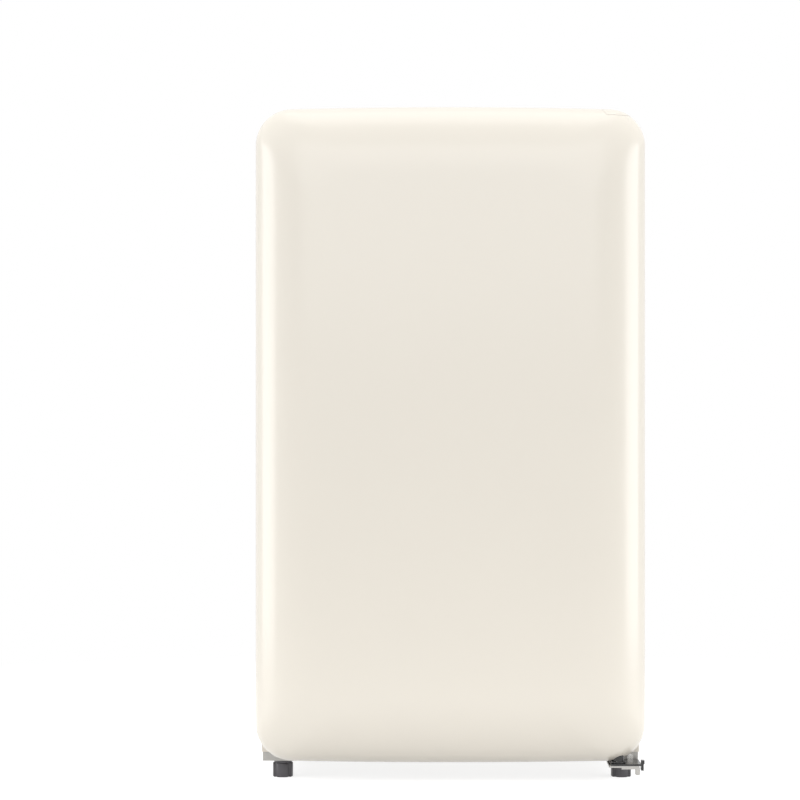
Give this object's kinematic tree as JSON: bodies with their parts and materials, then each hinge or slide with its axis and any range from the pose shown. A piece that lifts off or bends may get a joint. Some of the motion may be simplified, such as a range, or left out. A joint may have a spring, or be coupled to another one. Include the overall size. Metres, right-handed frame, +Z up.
{
  "type": "mini fridge",
  "caption": "Retro-style single-door mini fridge with a pillow-shaped cream door, inner ice box, glass shelves, crisper and rear condenser.",
  "frame": {"origin": "on the floor, under the middle of the whole fridge", "axes": "+X to the right of someone facing the door, +Y to the back, +Z up"},
  "size_m": [0.48, 0.5, 0.832],
  "materials": {
    "cream_paint": "smooth cream enamel, satin gloss",
    "white_liner": "thermoformed white polystyrene",
    "white_plastic": "moulded white plastic",
    "foam": "yellowish rigid insulation foam",
    "galvanised": "dull galvanised steel sheet",
    "black_paint": "black enamelled steel",
    "zinc_plate": "bright zinc plated steel",
    "black_plastic": "matt black nylon",
    "black_rubber": "soft black rubber",
    "seal_rubber": "soft pale grey vinyl seal",
    "magnet_strip": "dark ferrite filled rubber",
    "clear_glass": "tempered float glass",
    "clear_plastic": "clear moulded polystyrene",
    "aluminium_sheet": "roll bonded aluminium sheet",
    "copper": "drawn copper",
    "lamp_lens": "frosted clear plastic",
    "circuit_board": "white circuit board with small LEDs"
  },
  "bodies": {
    "cabinet": {"back_panel": "cream_paint", "base_frame": "galvanised", "bay_panel": "galvanised", "bottom_panel": "galvanised", "cabinet_foam": "foam", "compressor": "black_paint", "compressor_bolts": "zinc_plate", "compressor_grommets": "black_rubber", "compressor_legs": "galvanised", "compressor_plate": "galvanised", "condenser_brackets": "black_plastic", "condenser_tube": "black_paint", "condenser_wires": "black_paint", "cord_gland": "black_plastic", "crisper_cover": "clear_glass", "drain_tube": "white_plastic", "drip_tray": "black_plastic", "filter_drier": "copper", "front_cross_rail": "cream_paint", "hinge_glide": "black_plastic", "hinge_screws": "zinc_plate", "ice_box": "aluminium_sheet", "ice_box_frame": "white_plastic", "ice_box_hangers": "white_plastic", "inner_liner": "white_liner", "lamp_lens": "lamp_lens", "led_board": "circuit_board", "lower_hinge_bracket": "zinc_plate", "lower_hinge_pin": "zinc_plate", "outer_shell": "cream_paint", "rear_feet": "black_plastic", "refrigerant_pipes": "copper", "shelf_lower": "clear_glass", "shelf_trims": "white_plastic", "shelf_upper": "clear_glass", "switch_body": "white_plastic", "terminal_box": "black_plastic", "thermostat_body": "zinc_plate", "thermostat_housing": "white_plastic", "top_hinge_cap": "cream_paint", "top_hinge_cover": "white_plastic", "top_hinge_plate": "zinc_plate"},
    "door": {"door_skin": "cream_paint", "door_foam": "foam", "door_liner": "white_liner", "door_gasket": "seal_rubber", "gasket_magnets": "magnet_strip", "bottle_rack": "clear_plastic", "door_rack_middle": "clear_plastic", "door_rack_top": "clear_plastic", "door_grip": "white_plastic", "hinge_bushings": "black_plastic"},
    "freezer_flap": {"freezer_flap": "white_plastic"},
    "chill_tray": {"chill_tray": "clear_plastic"},
    "crisper": {"crisper_drawer": "clear_plastic"},
    "thermostat_knob": {"thermostat_knob": "white_plastic"},
    "switch_plunger": {"switch_plunger": "white_plastic"},
    "left_foot": {"foot_left": "black_plastic"},
    "right_foot": {"foot_right": "black_plastic"}
  },
  "joints": [
    {"name": "door_swing", "type": "hinge", "parent": "cabinet", "child": "door", "pos_m": [0.207, -0.214, 0.42], "axis": [0, 0, 1], "range_deg": [0, 120]},
    {"name": "flap_swing", "type": "hinge", "parent": "cabinet", "child": "freezer_flap", "pos_m": [0.175, -0.103, 0.714], "axis": [0, 0, 1], "range_deg": [0, 75]},
    {"name": "crisper_slide", "type": "slide", "parent": "cabinet", "child": "crisper", "axis": [0, -1, 0], "range_m": [0, 0.105]},
    {"name": "chill_tray_slide", "type": "slide", "parent": "cabinet", "child": "chill_tray", "axis": [0, -1, 0], "range_m": [0, 0.1]},
    {"name": "switch_travel", "type": "slide", "parent": "cabinet", "child": "switch_plunger", "axis": [0, -1, 0], "range_m": [0, 0.005]},
    {"name": "thermostat_turn", "type": "hinge", "parent": "cabinet", "child": "thermostat_knob", "pos_m": [0.144, -0.05, 0.58], "axis": [-1, 0, 0], "range_deg": [0, 300]},
    {"name": "left_foot_height", "type": "slide", "parent": "cabinet", "child": "left_foot", "axis": [0, 0, -1], "range_m": [0, 0.01]},
    {"name": "right_foot_height", "type": "slide", "parent": "cabinet", "child": "right_foot", "axis": [0, 0, -1], "range_m": [0, 0.01]}
  ],
  "couplings": [
    {"joint": "flap_swing", "follows": "door_swing", "ratio": 0.62},
    {"joint": "crisper_slide", "follows": "door_swing", "m_per_rad": 0.0499},
    {"joint": "chill_tray_slide", "follows": "door_swing", "m_per_rad": 0.0475},
    {"joint": "switch_travel", "follows": "door_swing", "m_per_rad": 0.00238}
  ]
}
